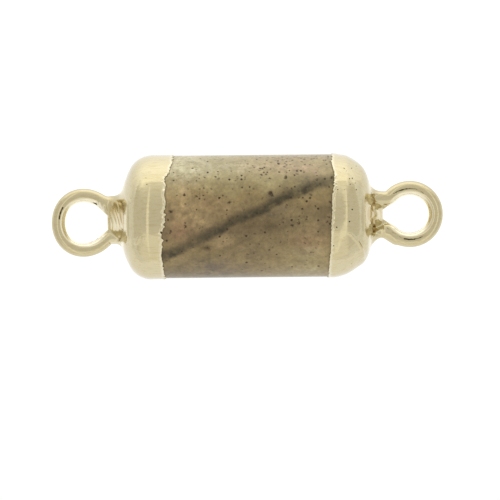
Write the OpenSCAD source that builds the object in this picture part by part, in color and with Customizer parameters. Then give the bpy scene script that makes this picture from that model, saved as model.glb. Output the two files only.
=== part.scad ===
// Spacer connector: a round stone barrel held between two plated metal ends, each with a wire loop.
// The barrel lies along X with its loops flat. Y is across the barrel, and Z is up from the surface.
// All sizes are in millimetres. Distances along the barrel count outwards from its middle.

/* [Barrel] */
// Diameter over the plated ends
barrel_d = 10; // [9:0.2:11]
// Length over both loops
overall_l = 31.6; // [31.4:0.1:33]
// Thickness of the metal skin on the stone
skin_t = 0.12; // [0.1:0.01:0.2]
// Clear gap between the stone and the metal
seat_gap = 0.02; // [0.01:0.01:0.05]
// Depth of the slight flat under each end, where the hand-dipped plating lies
rest_flat = 0.04; // [0.03:0.01:0.06]
// Radius of the curve in the middle of each domed end
dome_r = 8.4; // [8:0.1:10]

/* [Hidden peg] */
// Diameter of the peg that anchors each end in the stone
peg_d = 1.2; // [0.8:0.1:1.6]
// Depth of the peg in the stone
peg_depth = 3; // [2:0.5:5]

/* [Left end] */
// Distance from the middle of the barrel to the edge of the plating
left_plating_from = 6.5; // [5.5:0.1:7]
// Lean of the plating edge, positive where it reaches further in at the top
left_edge_lean = 3.5; // [-5:0.5:5]
// Distance from the middle of the barrel to the tip of the dome
left_dome_at = 10.4; // [10.2:0.05:10.5]
// Radius of the rounded shoulder
left_shoulder_r = 2; // [1.5:0.1:3]
// Wire thickness of the loop
left_wire_d = 1.13; // [1:0.01:1.3]
// Diameter of the eye through the loop
left_eye_d = 3.24; // [3:0.02:3.4]
// Height of the eye's centre above the barrel's axis
left_eye_y = -0.4; // [-0.5:0.05:0.5]
// Height of the neck over both legs
left_neck_h = 3.8; // [3.5:0.05:4]
// Height of the neck's middle above the barrel's axis
left_neck_y = -0.25; // [-0.4:0.05:0.4]
// Radius of the hollow in the neck's web, where it meets the eye
left_notch_r = 1.2; // [1.1:0.05:1.3]
// Reach of that hollow from the eye's centre
left_notch_reach = 1.84; // [1.75:0.01:1.9]

/* [Right end] */
// Distance from the middle of the barrel to the edge of the plating
right_plating_from = 6.75; // [5.5:0.05:7]
// Lean of the plating edge, positive where it reaches further in at the top
right_edge_lean = -1.5; // [-5:0.5:5]
// Distance from the middle of the barrel to the tip of the dome
right_dome_at = 10.3; // [10.2:0.05:10.5]
// Radius of the rounded shoulder
right_shoulder_r = 3.2; // [1.5:0.1:3.3]
// Wire thickness of the loop
right_wire_d = 1.2; // [1:0.01:1.3]
// Diameter of the eye through the loop
right_eye_d = 2.96; // [2.8:0.02:3.2]
// Height of the eye's centre above the barrel's axis
right_eye_y = 0.05; // [-0.5:0.05:0.5]
// Height of the neck over both legs
right_neck_h = 3.72; // [3.5:0.02:4]
// Height of the neck's middle above the barrel's axis
right_neck_y = 0.05; // [-0.4:0.05:0.4]
// Radius of the hollow in the neck's web, where it meets the eye
right_notch_r = 0.7; // [0.6:0.05:0.8]
// Reach of that hollow from the eye's centre
right_notch_reach = 2.2; // [2.1:0.01:2.25]

/* [Neck] */
// Thickness of the web between the two legs
web_t = 0.8; // [0.6:0.05:1]
// Height that the foot adds to the neck where it spreads on the dome
foot_spread = 0.9; // [0.5:0.1:1.2]
// Thickness of the foot on the dome
foot_t = 2.1; // [1.6:0.1:2.4]
// Length of the foot beyond the dome's tip
foot_l = 0.4; // [0.3:0.05:0.5]

/* [Hidden] */
$fn = 96;
WIRE_FACETS = 48;
HULL_FACETS = 32;
STONE_COLOUR = "#A89A70";
PLATING_COLOUR = "#D9CC9F";
barrel_r = barrel_d / 2;
axis_z = barrel_r - rest_flat;
peg_r = peg_d / 2;
// A shallow flat worn round the inside of each eye
eye_land = 0.03;
// Room past the end of the peg
peg_end_gap = 0.2;
// Bends are just open enough for the wire's own thickness
bend_slack = 0.05;
// How much thinner a bend is than the wire, and the angle that its ends are buried by
hair = 0.01;
bury = 3;
// How deep the neck's roots reach inside the dome before the stone's seat is cut
root_depth = 0.6;
// Thickness of the thin slices that the foot is stretched between
slice_t = 0.02;
// How far a cutting tool runs past what it cuts
past = 1;

// Half outline of one barrel end, with X as radius and Y along the barrel, drawn inset by a depth
module end_outline(inset, shoulder_r, dome_at) {
    dome_y = dome_at - dome_r;
    shoulder_x = barrel_r - shoulder_r;
    shoulder_y = dome_y + sqrt(pow(dome_r - shoulder_r, 2) - pow(shoulder_x, 2));
    far = 2 * dome_r;
    lean = atan2(shoulder_x, shoulder_y - dome_y);
    intersection() {
        square([barrel_d, overall_l]);
        union() {
            square([barrel_r - inset, shoulder_y]);
            translate([shoulder_x, shoulder_y]) circle(shoulder_r - inset);
            intersection() {
                translate([0, dome_y]) circle(dome_r - inset);
                translate([0, dome_y]) polygon([[0, 0], [far * sin(lean), far * cos(lean)], [0, far]]);
            }
        }
    }
}

// Solid barrel end along +X, from the middle of the barrel outwards
module end_solid(inset, shoulder_r, dome_at) {
    rotate([0, 90, 0]) rotate_extrude() end_outline(inset, shoulder_r, dome_at);
}

// Round wire bent to part of a circle about Z
module bent_wire(wire_r, bend_r, from, span) {
    rotate([0, 0, from]) rotate_extrude(angle = span) translate([bend_r, 0])
        circle(wire_r, $fn = WIRE_FACETS);
}

// One leg of the loop: it leaves the ring in a bend and runs straight into the dome.
// The bend is a hair thinner than the wire, and both its ends are buried in it.
module leg(wire_r, leg_y, bend_r, run, turn, root_x) {
    translate([-run, leg_y + bend_r, 0])
        bent_wire(wire_r - hair, bend_r, -90 - bury, 90 - turn + 2 * bury);
    translate([root_x, leg_y, 0]) rotate([0, 90, 0])
        cylinder(h = -run - root_x, r = wire_r, $fn = WIRE_FACETS);
}

// Loop, legs and web, with the eye's centre at the origin and the barrel on the -X side
module loop(wire_r, eye_r, top_y, bottom_y, notch_r, notch_reach, root_x) {
    ring_r = eye_r - eye_land + wire_r;
    bend_r = wire_r + bend_slack;
    top_run = sqrt(pow(ring_r + bend_r, 2) - pow(top_y + bend_r, 2));
    bottom_run = sqrt(pow(ring_r + bend_r, 2) - pow(bottom_y + bend_r, 2));
    top_turn = atan2(top_y + bend_r, top_run);
    bottom_turn = atan2(bottom_y + bend_r, bottom_run);
    notch_x = notch_reach - notch_r;
    crossing = (pow(eye_r, 2) - pow(notch_r, 2) + pow(notch_x, 2)) / (2 * notch_x);
    web_x = -max(notch_x, crossing);
    difference() {
        union() {
            bent_wire(wire_r, ring_r, 180 + bottom_turn, 360 - top_turn - bottom_turn);
            leg(wire_r, top_y, bend_r, top_run, top_turn, root_x);
            mirror([0, 1, 0]) leg(wire_r, bottom_y, bend_r, bottom_run, bottom_turn, root_x);
            translate([0, 0, -web_t / 2]) linear_extrude(web_t) difference() {
                translate([root_x, -bottom_y]) square([web_x - root_x, top_y + bottom_y]);
                translate([-notch_x, 0]) circle(notch_r);
                circle(eye_r + eye_land);
            }
        }
        cylinder(h = 2 * (wire_r + past), r = eye_r, center = true);
    }
}

// Slab with round ends, standing across the barrel
module oval_slab(height, thickness) {
    for (side = [-1, 1]) translate([0, side * (height - thickness) / 2, 0]) rotate([0, 90, 0])
        cylinder(h = slice_t, d = thickness, $fn = HULL_FACETS);
}

// Metal that spreads from the neck onto the dome
module foot(height, dome_at) {
    hull() {
        translate([dome_at - root_depth, 0, 0]) oval_slab(height + foot_spread, foot_t);
        translate([dome_at + foot_l, 0, 0]) oval_slab(height - foot_spread / 2, web_t);
    }
}

// One plated end along +X: skin, foot, loop and hidden peg in one piece of metal
module plated_end(
    plating_from, edge_lean, dome_at, shoulder_r, wire_d, eye_d, eye_y, neck_h, neck_y,
    notch_r, notch_reach
) {
    wire_r = wire_d / 2;
    eye_x = overall_l / 2 - eye_d / 2 + eye_land - wire_d;
    leg_y = (neck_h - wire_d) / 2;
    difference() {
        union() {
            end_solid(0, shoulder_r, dome_at);
            translate([0, neck_y, 0]) foot(neck_h, dome_at);
            translate([eye_x, eye_y, 0]) loop(
                wire_r, eye_d / 2, neck_y + leg_y - eye_y, eye_y - neck_y + leg_y,
                notch_r, notch_reach, dome_at - root_depth - eye_x
            );
        }
        end_solid(skin_t, shoulder_r, dome_at);
        translate([plating_from, 0, 0]) rotate([0, 0, edge_lean])
            translate([-overall_l, -barrel_d, -barrel_d]) cube([overall_l, 2 * barrel_d, 2 * barrel_d]);
        translate([0, -barrel_r, -axis_z - barrel_r]) cube([overall_l, barrel_d, barrel_r]);
    }
    translate([dome_at - skin_t - peg_depth, 0, 0]) rotate([0, 90, 0])
        cylinder(h = peg_depth + skin_t / 2, r = peg_r);
}

// Blind hole in the stone for one end's peg
module peg_hole(dome_at) {
    translate([dome_at - skin_t - peg_depth - peg_end_gap, 0, 0]) rotate([0, 90, 0])
        cylinder(h = peg_end_gap + peg_depth + past, r = peg_r + seat_gap);
}

module stone_barrel() {
    color(STONE_COLOUR) translate([0, 0, axis_z]) difference() {
        union() {
            end_solid(skin_t + seat_gap, right_shoulder_r, right_dome_at);
            mirror([1, 0, 0]) end_solid(skin_t + seat_gap, left_shoulder_r, left_dome_at);
        }
        peg_hole(right_dome_at);
        mirror([1, 0, 0]) peg_hole(left_dome_at);
    }
}

module left_cap_and_loop() {
    color(PLATING_COLOUR) translate([0, 0, axis_z]) mirror([1, 0, 0]) plated_end(
        left_plating_from, left_edge_lean, left_dome_at, left_shoulder_r, left_wire_d, left_eye_d,
        left_eye_y, left_neck_h, left_neck_y, left_notch_r, left_notch_reach
    );
}

module right_cap_and_loop() {
    color(PLATING_COLOUR) translate([0, 0, axis_z]) plated_end(
        right_plating_from, right_edge_lean, right_dome_at, right_shoulder_r, right_wire_d, right_eye_d,
        right_eye_y, right_neck_h, right_neck_y, right_notch_r, right_notch_reach
    );
}

stone_barrel();
left_cap_and_loop();
right_cap_and_loop();
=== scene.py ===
"""Looks of the spacer connector: a polished stone barrel, two plated ends with loops, and a plain studio."""

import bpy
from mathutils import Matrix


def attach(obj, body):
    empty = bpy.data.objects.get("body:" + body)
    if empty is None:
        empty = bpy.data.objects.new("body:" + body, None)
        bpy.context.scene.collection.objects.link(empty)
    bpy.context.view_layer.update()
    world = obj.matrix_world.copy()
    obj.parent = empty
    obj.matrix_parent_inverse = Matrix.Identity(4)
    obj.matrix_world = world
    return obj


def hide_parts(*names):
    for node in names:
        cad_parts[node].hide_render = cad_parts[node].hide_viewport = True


bl_info = {
    "name": "Spacer connector",
    "version": (1, 0, 0),
    "blender": (4, 5, 0),
    "location": "View3D > Sidebar > Connector",
    "description": "Builds a stone barrel connector with plated ends and the plain studio round it",
    "category": "Add Mesh",
}

from functools import partial
from math import acos, asin, atan2, cos, pi, radians, sin, sqrt

import bmesh
import bpy
import numpy as np
from bpy.props import FloatProperty, FloatVectorProperty, IntProperty, PointerProperty

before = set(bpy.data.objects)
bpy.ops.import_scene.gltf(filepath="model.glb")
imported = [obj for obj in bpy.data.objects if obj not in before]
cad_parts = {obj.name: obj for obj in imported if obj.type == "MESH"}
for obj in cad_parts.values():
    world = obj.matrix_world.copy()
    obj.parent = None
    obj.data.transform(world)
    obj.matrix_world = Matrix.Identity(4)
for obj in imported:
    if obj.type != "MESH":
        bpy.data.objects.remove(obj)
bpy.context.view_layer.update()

MM = 0.001
BODY = "root"
STONE_NODE = "stone_barrel"
# Reach of the stone's pattern along the barrel and across it, each way from its middle
PATTERN_X, PATTERN_Y = 7, 5
# Room past the end of each peg, and the spacing of the stone's rings on its straight side
PEG_END_GAP = 0.2
RING_STEP = 0.08
# Sides of the turned stone and of the seat that is cut for it, and the rings on each curve of their ends
STONE_SIDES, SEAT_SIDES = 360, 256
STONE_RINGS, SEAT_RINGS = 14, 24
# Points of a turned body closer than this are one
SEAM = 0.002
# Steps of the plated ends' meshes along the barrel: at the edge, on the cap, on the neck and round the loop
ALONG_STEPS = (0.045, 0.085, 0.036, 0.055)
# Steps across the barrel and up: in the middle and outside it
FINE_STEP, COARSE_STEP = 0.05, 0.09
# Where the seat is cut out of a plated end, past the plating's edge
SEAT_PAST = 1
# Unevenness of the plating: height, wavelength, what is added to the end's seed, and number of waves
WAVES = {
    "teeth": (1, 0.36, 0, 14), "small teeth": (0.9, 0.18, 1, 14), "bends": (0.1, 2.4, 2, 10),
    "skin": (0.012, 2.6, 3, 10), "patches": (0.9, 1.9, 4, 10), "lip": (0.6, 0.5, 5, 10),
    "strokes": (1, 0.24, 6, 12), "drift": (0.1, 1.3, 7, 10),
}
# Fillets at a lump of the wire, between the neck's filling and its web, between that and the legs, and at
# the skin
LUMP_FILLET, WEB_FILLET, LEG_FILLET, SKIN_FILLET = 0.15, 0.2, 0.1, 0.04
# Heights between which the plating's plain back turns into the side that shows
SHOWN_FROM = (-1.5, 1.0)
# Most of the skin's thickness that a hollow in it may take
DEEPEST = 0.6
# Heights between which the lip grows from low at the back to whole on the side that shows
LIP_FROM = (0.5, 3)
# Depth and width of the groove in the crease between the legs
GROOVE_DEPTH, GROOVE_W = 0.06, 0.08
# The dome's brow over the neck, raised and with a painted highlight: how far to either side of the neck's
# middle it is whole and where it ends, then how far it lies before the crease, and its width
RAISED_BROW, BROW_HIGHLIGHT = (1.2, 2.0, 0.28, 0.16), (1.4, 2.2, 0.45, 0.27)
# Painted highlight: how bright on the lip, and the neck's strips that carry it: height across and width
LIP_HIGHLIGHT = 0.38
NECK_HIGHLIGHT_STRIPS = ((-0.75, 0.5), (-2.1, 0.3))
# The painted brown shade on the neck, in the same way, and the width of the painted shade in the crease
NECK_SHADE = (0.85, 0.75)
CREASE_W = 0.12
# Radius of the legs' bends, in wire radii, and how deep the legs reach into the dome
BEND = 1.1
LEG_ROOT = 0.3
# Radius of the rim where the neck's filling meets the eye, and how far the web stands back from it
RIM_R = 0.2
WEB_BACK = 0.05
# Ranges that hold most of a noise, and the middle of it
NOISE, NOISE_MIDDLE = (0.3, 0.7), (0.35, 0.65)
# Half sizes of the floor's pool of light
POOL_X, POOL_Y = 19, 4.5
# Light of the room towards both ends, and of what the camera sees past the floor
ENDS_LIGHT, BACKDROP_LIGHT = 0.78, 1.1
# Settings that many nodes share
SOFT = {"interpolation_type": "SMOOTHSTEP"}
RGBA = {"data_type": "RGBA"}


def length(name, description, default_mm):
    """A size that a user may change, given here in millimetres."""
    return FloatProperty(
        name=name, description=description, default=default_mm * MM, unit="LENGTH", precision=5
    )


def linear(hex_colour):
    """Linear RGB of an sRGB colour such as #A89A70."""
    parts = [int(hex_colour[i:i + 2], 16) / 255 for i in (1, 3, 5)]
    return [c / 12.92 if c <= 0.04045 else ((c + 0.055) / 1.055) ** 2.4 for c in parts]


def colour(name, description, hex_colour):
    """A colour that a user may change."""
    return FloatVectorProperty(
        name=name, description=description, default=linear(hex_colour), subtype="COLOR", size=3, min=0, max=1
    )


# Settings

class ConnectorBarrel(bpy.types.PropertyGroup):
    """Sizes and colours of the stone barrel"""
    barrel_d: length("Barrel diameter", "Diameter over the plated ends", 10)
    overall_l: length("Overall length", "Length over both loops", 31.6)
    skin_t: length("Skin", "Thickness of the metal skin on the stone", 0.06)
    seat_gap: length("Seat gap", "Clear gap between the stone and the metal", 0.01)
    rest_flat: length("Rest flat", "Depth of the slight flat under each end", 0.04)
    dome_r: length("Dome radius", "Radius of the curve in the middle of each end", 8.4)
    peg_d: length("Peg diameter", "Diameter of the hidden peg in each end", 1.2)
    peg_depth: length("Peg depth", "Depth of the hidden peg in the stone", 3)
    pit_depth: length("Pit depth", "Depth of the polish pits at the dark specks", 0.02)
    stray_d: length("Stray speck", "Largest size of the scattered specks", 0.12)
    stray_density: FloatProperty(
        name="Stray density", description="Scattered specks on each square millimetre", default=0.6, min=0
    )
    seed: IntProperty(name="Seed", description="Seed of the scattered specks", default=4)
    # Partly painted sheen: the back of the stone is paler where it faces the brightest light
    pale: colour("Pale sand", "Light tone towards the back", "#A89B72")
    sand: colour("Sand", "Main tone of the stone", "#8F7D56")
    umber: colour("Umber", "Brown tone in the middle", "#77664A")
    vein: colour("Vein", "Grey-brown tone of the veins", "#463E2C")
    speck: colour("Speck", "Tone of the dark specks", "#3E2F1C")
    rose: colour("Rose patches", "Tone of the rosy patches", "#A17D5F")
    ash: colour("Ash patches", "Tone of the violet-grey patches", "#796C59")
    moss: colour("Moss patches", "Tone of the yellow-green patches", "#A29468")
    blush: colour("Blush patches", "Tone of the pale rosy patches", "#B8A284")
    # Palest patches: at the upper back a painted reflection of the bright light, and faint pale patches in
    # front
    mist: colour("Mist patches", "Tone of the palest patches", "#CFC7A6")
    smoke: colour("Smoke patches", "Tone of the grey haze beside the vein", "#5B5344")
    # Deep brown of the stone under the vein, and painted shade along the front edge
    dusk: colour("Dusk patches", "Tone of the deep brown under the vein", "#5F5036")
    tan: colour("Tan patches", "Tone of the light brown patches", "#B79E74")


# Sizes of the plated ends: name, description, and the defaults on the left and on the right
END_SIZES = {
    "dome_at": ("Dome tip", "Distance from the barrel's middle to the dome's tip", 10.4, 10.3),
    "shoulder_r": ("Shoulder radius", "Radius of the rounded shoulder", 2, 3.2),
    "wire_d": ("Wire", "Thickness of the loop's wire", 1.13, 1.2),
    "eye_d": ("Eye", "Diameter of the eye through the loop", 3.24, 2.96),
    "eye_y": ("Eye height", "Height of the eye's centre above the barrel's axis", -0.4, 0.05),
    "neck_h": ("Neck", "Height of the neck over both legs", 3.8, 3.72),
    "neck_y": ("Neck height", "Height of the neck's middle above the barrel's axis", -0.25, 0.05),
    "reach": ("Eye reach", "Distance from the eye's centre to the neck's web", 1.8, 2.17),
    "blunt_h": ("Blunt side", "Height of the eye's straight side at the web", 1.12, 0.72),
}


def end_settings(name, side, column):
    """Settings of one plated end, with their defaults from a column of the table."""
    sizes = {key: length(*row[:2], row[column]) for key, row in END_SIZES.items()}
    body = {"__doc__": f"Sizes of the {side} plated end", "__annotations__": sizes}
    return type(name, (bpy.types.PropertyGroup,), body)


ConnectorLeftEnd = end_settings("ConnectorLeftEnd", "left", 2)
ConnectorRightEnd = end_settings("ConnectorRightEnd", "right", 3)


class ConnectorPlating(bpy.types.PropertyGroup):
    """Sizes and colours that both plated ends share"""
    lip_h: length("Lip height", "How far the plating's edge stands proud", 0.045)
    lip_w: length("Lip width", "Width of the raised lip at the plating's edge", 0.1)
    tooth: length("Teeth", "How far the plating's ragged edge wanders", 0.055)
    web_t: length("Web", "Thickness of the web between the legs", 0.7)
    gold: colour("Gold", "Colour of the plating", "#D1C6A2")
    shade: colour("Shade", "Colour of the plating in its recesses", "#BFAB7C")
    # Colour of the painted highlight on the lip, inside the eyes, on the brow and low on the neck
    rubbed: colour("Rubbed", "Colour of the plating where it is rubbed bright", "#F7F1DC")
    # Also paints shade in the thinnest marks along the eyes' inner rims
    tarnish: colour("Tarnish", "Colour of the fine dark marks and pits", "#3F351D")
    roughness: FloatProperty(
        name="Roughness", description="Roughness of the plating", default=0.12, min=0, max=1
    )


class ConnectorStudio(bpy.types.PropertyGroup):
    """Light and camera of the plain studio"""
    view_w: length("View width", "Width of the camera's view at the barrel's axis", 40.3)
    view_x: length("View along", "Place of the view's middle along the barrel", 0.215)
    view_y: length("View across", "Place of the view's middle across the barrel", -2.725)
    camera_h: length("Camera height", "Height of the camera above the barrel's axis", 450)
    roll: FloatProperty(
        name="Roll", description="Roll of the camera about its view", default=radians(0.5564), subtype="ANGLE"
    )
    floor_r: length("Floor radius", "Radius of the pale floor", 700)
    room: colour("Room", "Colour of the room that the metal reflects", "#FFFDF6")
    side_light: FloatProperty(
        name="Side light", description="Light of the two soft strips overhead", default=1.15, min=0
    )


# Tables read from the photograph, in millimetres

# Each plated end, with places along the barrel counted from its middle and heights across it:
# edge_rows is the plating's edge on the side that shows, and how ragged it is.
# lean_rows is how much fuller the upper shoulder is than the lower one.
# swells are ring-like, each with its place, height and width, and how far across the barrel it is whole.
# filling is the neck's: where it meets the dome and how thick it is there, its half widths and middle, how
# far that middle shifts on the way, how hollow its climb is, how square its section is, how rough its strokes
# are, how strong its painted brown shade above is and its painted highlight below, how high the dome's brow
# stands over it, and how far it flares above and below.
# ridges cross that filling, each with its place, height, width and half length. slant is how far they lean.
# legs are the loop's, upper and lower: how far each drifts outwards on its way to the dome, and how much of
# its thickness it loses.
# lumps are where the wire was closed: one end and the other as place and height, then thickness over 2.
# folds in the plating give their two ends in the same way, then their own height and width.
# marks are fine dark lines on the loop: start and end in degrees round the eye from its outer side, how far
# outside the wire's middle there, and half width. The thinnest, along the eye's inner rim, are painted shade.
# pits are tiny dark hollows in the cap: place, height and half width.
# wobble is how far the loop is out of round, and seed is that of the end's random waves.
LEFT_END = {
    "edge_rows": {
        "across": [-5.0, -3.7, -3.1, -2.1, -1.3, -0.9, 0.0, 0.4, 1.2, 1.7, 2.5, 2.9, 3.4, 4.0, 5.0],
        "along": [6.65, 6.78, 6.87, 6.77, 6.85, 6.6, 6.5, 6.58, 6.45, 6.57, 6.44, 6.56, 6.34, 6.05, 5.9],
        "tooth": 1.0,
    },
    "lean_rows": {
        "along": [7.6, 8.2, 8.8, 9.4, 9.9, 10.4], "lift": [0, -0.045, -0.07, -0.09, -0.12, -0.04],
    },
    "swells": [(7.7, 0.006, 0.2, 0), (8.4, -0.01, 0.2, 0)],
    "filling": {
        "crease": 9.9, "crease_h": 2.8, "rim_h": 0.64, "rim_w": 1.5, "crease_w": 1.95, "middle": 0.2,
        "shift": -0.3, "rise": 1.6, "square": 2.1, "stroke": 0.012, "stain": 0.7, "bright": 0.4,
        "brow": 0.1, "flare": (0.5, 0.5),
    },
    "ridges": [
        (11.05, 0.05, 0.07, 1.2), (10.72, 0.07, 0.08, 1.3), (10.45, 0.05, 0.06, 1.0),
        (10.18, 0.08, 0.07, 1.3),
    ],
    "slant": 0.26,
    "legs": [(0, 0), (0, 0)],
    "lumps": [],
    "folds": [(8.64, -1.63, 8.89, -2.1, 0.08, 0.12), (8.64, -1.63, 8.3, -1.8, 0.06, 0.12)],
    "marks": [
        (9, 35, -0.1, -0.02, 0.06), (114, 123, -0.44, -0.42, 0.055), (-130, -50, -0.56, -0.56, 0.012),
    ],
    "pits": [
        (8.05, 3.1, 0.055), (7.97, 2.6, 0.055), (6.85, -1.26, 0.1), (9.29, 1.5, 0.04), (9.32, 1.1, 0.04),
    ],
    "wobble": 0.045,
    "seed": 11,
}
RIGHT_END = {
    "edge_rows": {
        "across": [-5.0, -3.8, -2.6, -1.4, 0.3, 1.4, 2.2, 3.3, 4.1, 5.0],
        "along": [6.48, 6.57, 6.67, 6.68, 6.78, 6.79, 6.93, 7.02, 6.82, 6.86],
        "tooth": 0.55,
    },
    "lean_rows": {"along": [7.4, 8.0, 8.7, 9.2, 9.7, 10.1], "lift": [0, 0.05, 0.065, 0.03, -0.02, -0.03]},
    "swells": [
        (6.95, 0.012, 0.12, 0), (8.05, 0.02, 0.2, 0), (7.5, -0.008, 0.25, 0), (9.45, 0.11, 0.5, 2.9),
    ],
    "filling": {
        "crease": 9.68, "crease_h": 3.05, "rim_h": 0.45, "rim_w": 0.85, "crease_w": 1.15, "middle": 0.02,
        "shift": 0, "rise": 1.1, "square": 2.2, "stroke": 0.005, "stain": 0.0, "bright": 0.0,
        "brow": 0.05, "flare": (0.9, 0.8),
    },
    "ridges": [(10.36, 0.2, 0.19, 1.0), (9.88, 0.16, 0.1, 1.3)],
    "slant": -0.03,
    "legs": [(0, 0), (0.4, 0.25)],
    "lumps": [(11.25, -1.36, 12.0, -1.84, 0.59)],
    "folds": [
        (8.27, -1.5, 8.86, -2.16, 0.1, 0.11), (8.86, -2.16, 9.21, -2.74, 0.11, 0.11),
        (9.21, -2.74, 9.35, -3.32, 0.09, 0.11),
    ],
    "marks": [
        (56, 74, -0.1, -0.02, 0.02), (74, 95, -0.02, -0.04, 0.03), (95, 110, -0.04, -0.03, 0.05),
        (110, 128, -0.03, 0.02, 0.035), (-160, -128, 0.15, -0.1, 0.015), (-128, -104, -0.1, -0.04, 0.02),
        (-104, -80, -0.04, -0.03, 0.055), (-80, -62, -0.03, 0, 0.035), (-145, -45, -0.59, -0.59, 0.012),
    ],
    "pits": [
        (7.8, 3.72, 0.05), (8.01, 3.53, 0.05), (8.42, 3.75, 0.05), (8.8, 3.93, 0.04), (8.22, 2.9, 0.055),
        (8.45, 2.94, 0.055), (8.69, 2.55, 0.05), (8.76, 2.0, 0.05), (8.26, 2.44, 0.05),
        (7.26, 2.03, 0.05), (7.8, 2.01, 0.045), (8.4, 0.43, 0.06), (8.17, -0.53, 0.065),
        (7.15, -0.98, 0.06), (6.9, -2.45, 0.05), (8.36, -3.9, 0.05),
    ],
    "wobble": 0,
    "seed": 23,
}

# Dark specks of the stone: place along the barrel, height across it, size
SPECKS = [
    (-5.0, 1.75, 0.22), (-4.0, 1.58, 0.22), (-3.75, 1.72, 0.14), (-3.42, 1.37, 0.16), (-4.95, -0.5, 0.15),
    (-4.92, -0.8, 0.25), (-6.08, -1.17, 0.22), (-6.06, 0.4, 0.3), (-3.77, -1.02, 0.18), (-3.55, -0.87, 0.12),
    (-1.4, 1.1, 0.26), (-1.04, 1.1, 0.13), (-1.69, 1.55, 0.11), (-1.13, 2.14, 0.19), (-0.92, 2.82, 0.15),
    (-0.14, 3.1, 0.2), (-0.12, 2.95, 0.16), (-2.2, 3.0, 0.17), (-4.34, 4.35, 0.15), (0.11, 4.17, 0.17),
    (0.64, 3.88, 0.19), (1.9, 1.8, 0.4), (1.98, 1.62, 0.25), (3.14, 3.05, 0.38), (1.87, 2.99, 0.22),
    (6.85, 2.99, 0.36), (5.84, 2.46, 0.2), (5.61, 2.83, 0.22), (5.48, 0.71, 0.17), (5.1, 1.65, 0.22),
    (3.53, 2.13, 0.18), (4.09, 1.44, 0.2), (3.18, 0.82, 0.19), (3.16, 0.62, 0.13), (3.6, -0.79, 0.28),
    (4.13, -0.6, 0.26), (4.12, -0.35, 0.15), (2.85, -0.5, 0.18), (4.18, -0.06, 0.15), (4.71, -0.32, 0.15),
    (2.69, -2.12, 0.2), (1.86, -1.86, 0.16), (2.03, -2.53, 0.15), (1.78, -2.75, 0.17), (0.98, -2.22, 0.14),
    (4.59, -2.22, 0.17), (5.69, -2.34, 0.15), (1.22, 1.42, 0.17), (-2.0, 4.54, 0.14), (-1.63, 4.25, 0.14),
    (-3.2, 4.34, 0.1), (-1.22, 3.6, 0.17), (-1.27, 3.8, 0.12), (0.18, 3.53, 0.14), (1.17, 3.29, 0.23),
    (1.04, 3.63, 0.2), (1.29, 3.77, 0.2), (1.56, 3.32, 0.2), (1.48, 2.75, 0.15), (3.05, 3.91, 0.23),
    (3.2, 3.46, 0.19), (4.04, 3.32, 0.17), (4.61, 3.49, 0.19), (3.05, 4.2, 0.19), (2.1, 4.67, 0.21),
    (2.45, 4.57, 0.19), (3.25, 4.6, 0.21), (4.15, 4.65, 0.23), (4.4, 4.6, 0.22), (4.65, 4.5, 0.21),
    (5.4, 4.57, 0.21), (6.36, 4.43, 0.22), (6.56, 4.68, 0.21), (6.4, 4.1, 0.19), (6.7, 4.28, 0.19),
    (0.85, 4.55, 0.22), (1.5, 4.17, 0.17), (-4.68, 2.78, 0.11), (-5.48, 3.27, 0.13), (-5.5, 2.22, 0.11),
    (-3.78, 3.02, 0.13), (-3.38, 3.12, 0.14), (-0.49, 1.34, 0.1), (-0.25, 0.48, 0.18), (-0.75, -0.07, 0.18),
    (-1.4, -0.41, 0.19), (1.9, -0.09, 0.16), (3.5, -0.11, 0.13), (6.55, -0.13, 0.2), (6.4, -0.55, 0.2),
    (6.66, 1.02, 0.22), (4.64, -1.82, 0.13), (5.65, -2.07, 0.11), (5.5, -2.6, 0.11), (0.58, -1.46, 0.16),
    (-1.63, -1.76, 0.13), (0.03, -3.07, 0.15), (0.67, -2.93, 0.12), (-4.14, -3.83, 0.14),
    (-1.76, -4.56, 0.13), (-0.48, -4.27, 0.12), (4.62, -3.97, 0.11), (-5.93, -2.17, 0.11),
    (-6.3, -0.26, 0.2), (-3.2, -2.5, 0.16),
]

# Veins of the stone: route as places along the barrel and heights across it, how far the band
# reaches above and below that route, and its strength
VEINS = [
    ([(-7, -3.2), (-6.4, -3.0), (-4.5, -2.1), (-2.3, -1.05), (-1.1, -0.32), (0.1, 0.06), (1.4, 0.6),
      (2.8, 1.42), (4.8, 2.22), (7, 3.0)], 0.72, 0.7, 1.0),
    ([(-7, -4.6), (-3.8, -3.4), (-1.5, -2.5), (1.0, -1.2), (3.5, -0.6), (7, 0.6)], 0.5, 0.45, 0.22),
]
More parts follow.
